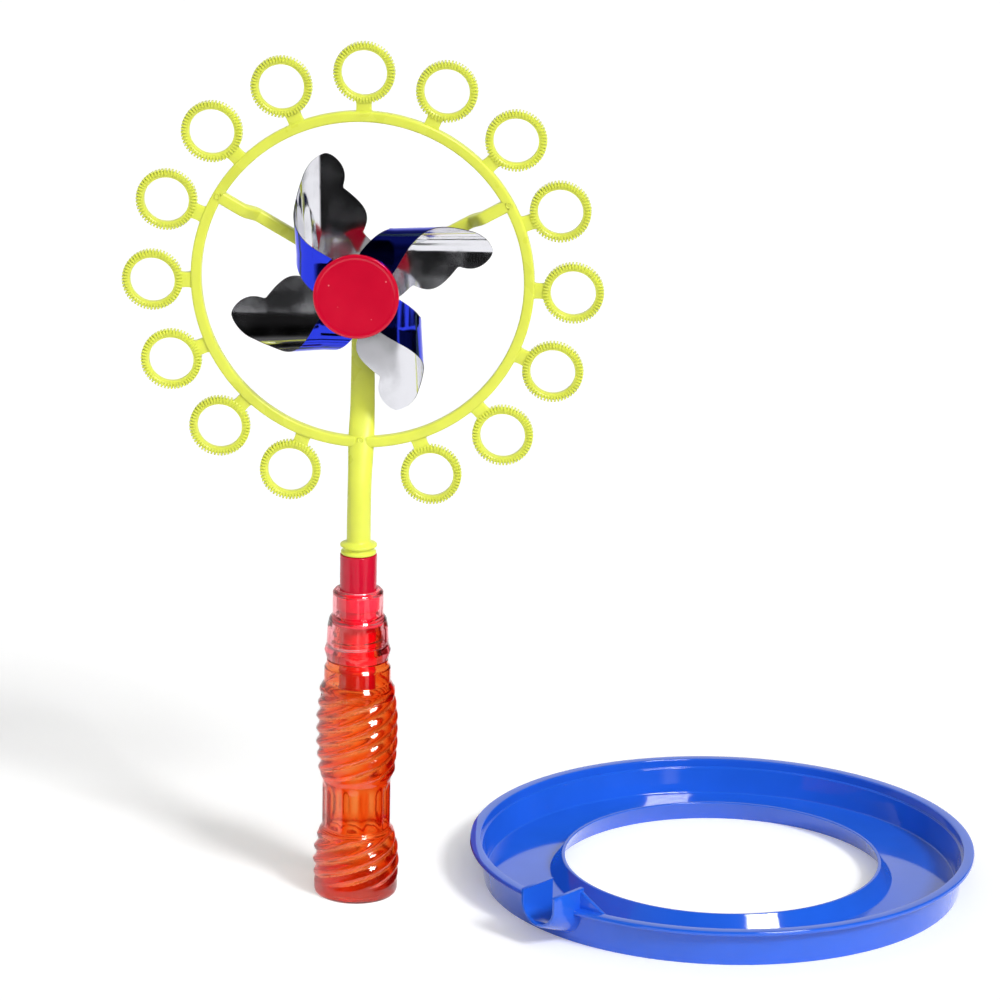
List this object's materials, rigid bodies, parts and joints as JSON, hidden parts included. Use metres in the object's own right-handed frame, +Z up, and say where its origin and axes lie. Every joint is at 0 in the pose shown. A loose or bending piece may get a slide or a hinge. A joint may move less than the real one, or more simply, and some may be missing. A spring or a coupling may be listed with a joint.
{
  "type": "bubble windmill",
  "caption": "Bubble wand with a ring of loops round a foil pinwheel, screwed as stopper into a bottle handle of solution, with a ring-shaped pouring tray beside it.",
  "frame": {"origin": "centre of the bottle's base, on the table", "axes": "+Z up along the bottle and stem, -Y the side the pinwheel faces, +X towards the tray"},
  "size_m": [0.3475, 0.2076, 0.3502],
  "materials": {
    "bottle_shell": "translucent gloss",
    "cap_shell": "translucent gloss",
    "red": "satin gloss",
    "solution": "clear liquid",
    "seal": "soft",
    "yellow": "satin gloss",
    "steel": "drawn wire",
    "white": "moulded",
    "foil": "metallised foil, silver inside and blue outside",
    "blue": "gloss"
  },
  "bodies": {
    "bottle": {"handle_bottle": "bottle_shell", "bubble_solution": "solution"},
    "seal": {"cap_seal": "seal"},
    "wand": {"screw_cap": "cap_shell", "stem_socket": "red", "wand_stem": "yellow", "frame_arm_left": "yellow", "frame_arm_right": "yellow", "frame_hoop": "yellow", "axle_pin": "steel", "bubble_loop_01": "yellow", "bubble_loop_02": "yellow", "bubble_loop_03": "yellow", "bubble_loop_04": "yellow", "bubble_loop_05": "yellow", "bubble_loop_06": "yellow", "bubble_loop_07": "yellow", "bubble_loop_08": "yellow", "bubble_loop_09": "yellow", "bubble_loop_10": "yellow", "bubble_loop_11": "yellow", "bubble_loop_12": "yellow", "bubble_loop_13": "yellow", "bubble_loop_14": "yellow", "bubble_loop_15": "yellow"},
    "pinwheel": {"spacer_bead": "white", "rear_washer": "white", "hub_spool": "white", "front_disc": "red", "foil_blade_1": "foil", "foil_blade_2": "foil", "foil_blade_3": "foil", "foil_blade_4": "foil"},
    "tray": {"pouring_tray": "blue"}
  },
  "joints": [
    {"name": "cap_rise", "type": "slide", "parent": "bottle", "child": "seal", "axis": [0, 0, 1], "range_m": [0, 0.0045]},
    {"name": "cap_twist", "type": "hinge", "parent": "seal", "child": "wand", "pos_m": [0, 0, 0.1], "axis": [0, 0, 1], "range_deg": [0, 450]},
    {"name": "pinwheel_spin", "type": "hinge", "parent": "wand", "child": "pinwheel", "pos_m": [0, 0, 0.2548], "axis": [0, -1, 0], "continuous": true},
    {"name": "tray_lift", "type": "slide", "parent": "bottle", "child": "tray", "axis": [0, 0, 1], "range_m": [0, 0.1]}
  ],
  "couplings": [
    {"joint": "cap_rise", "follows": "cap_twist", "m_per_rad": 0.00057296}
  ]
}
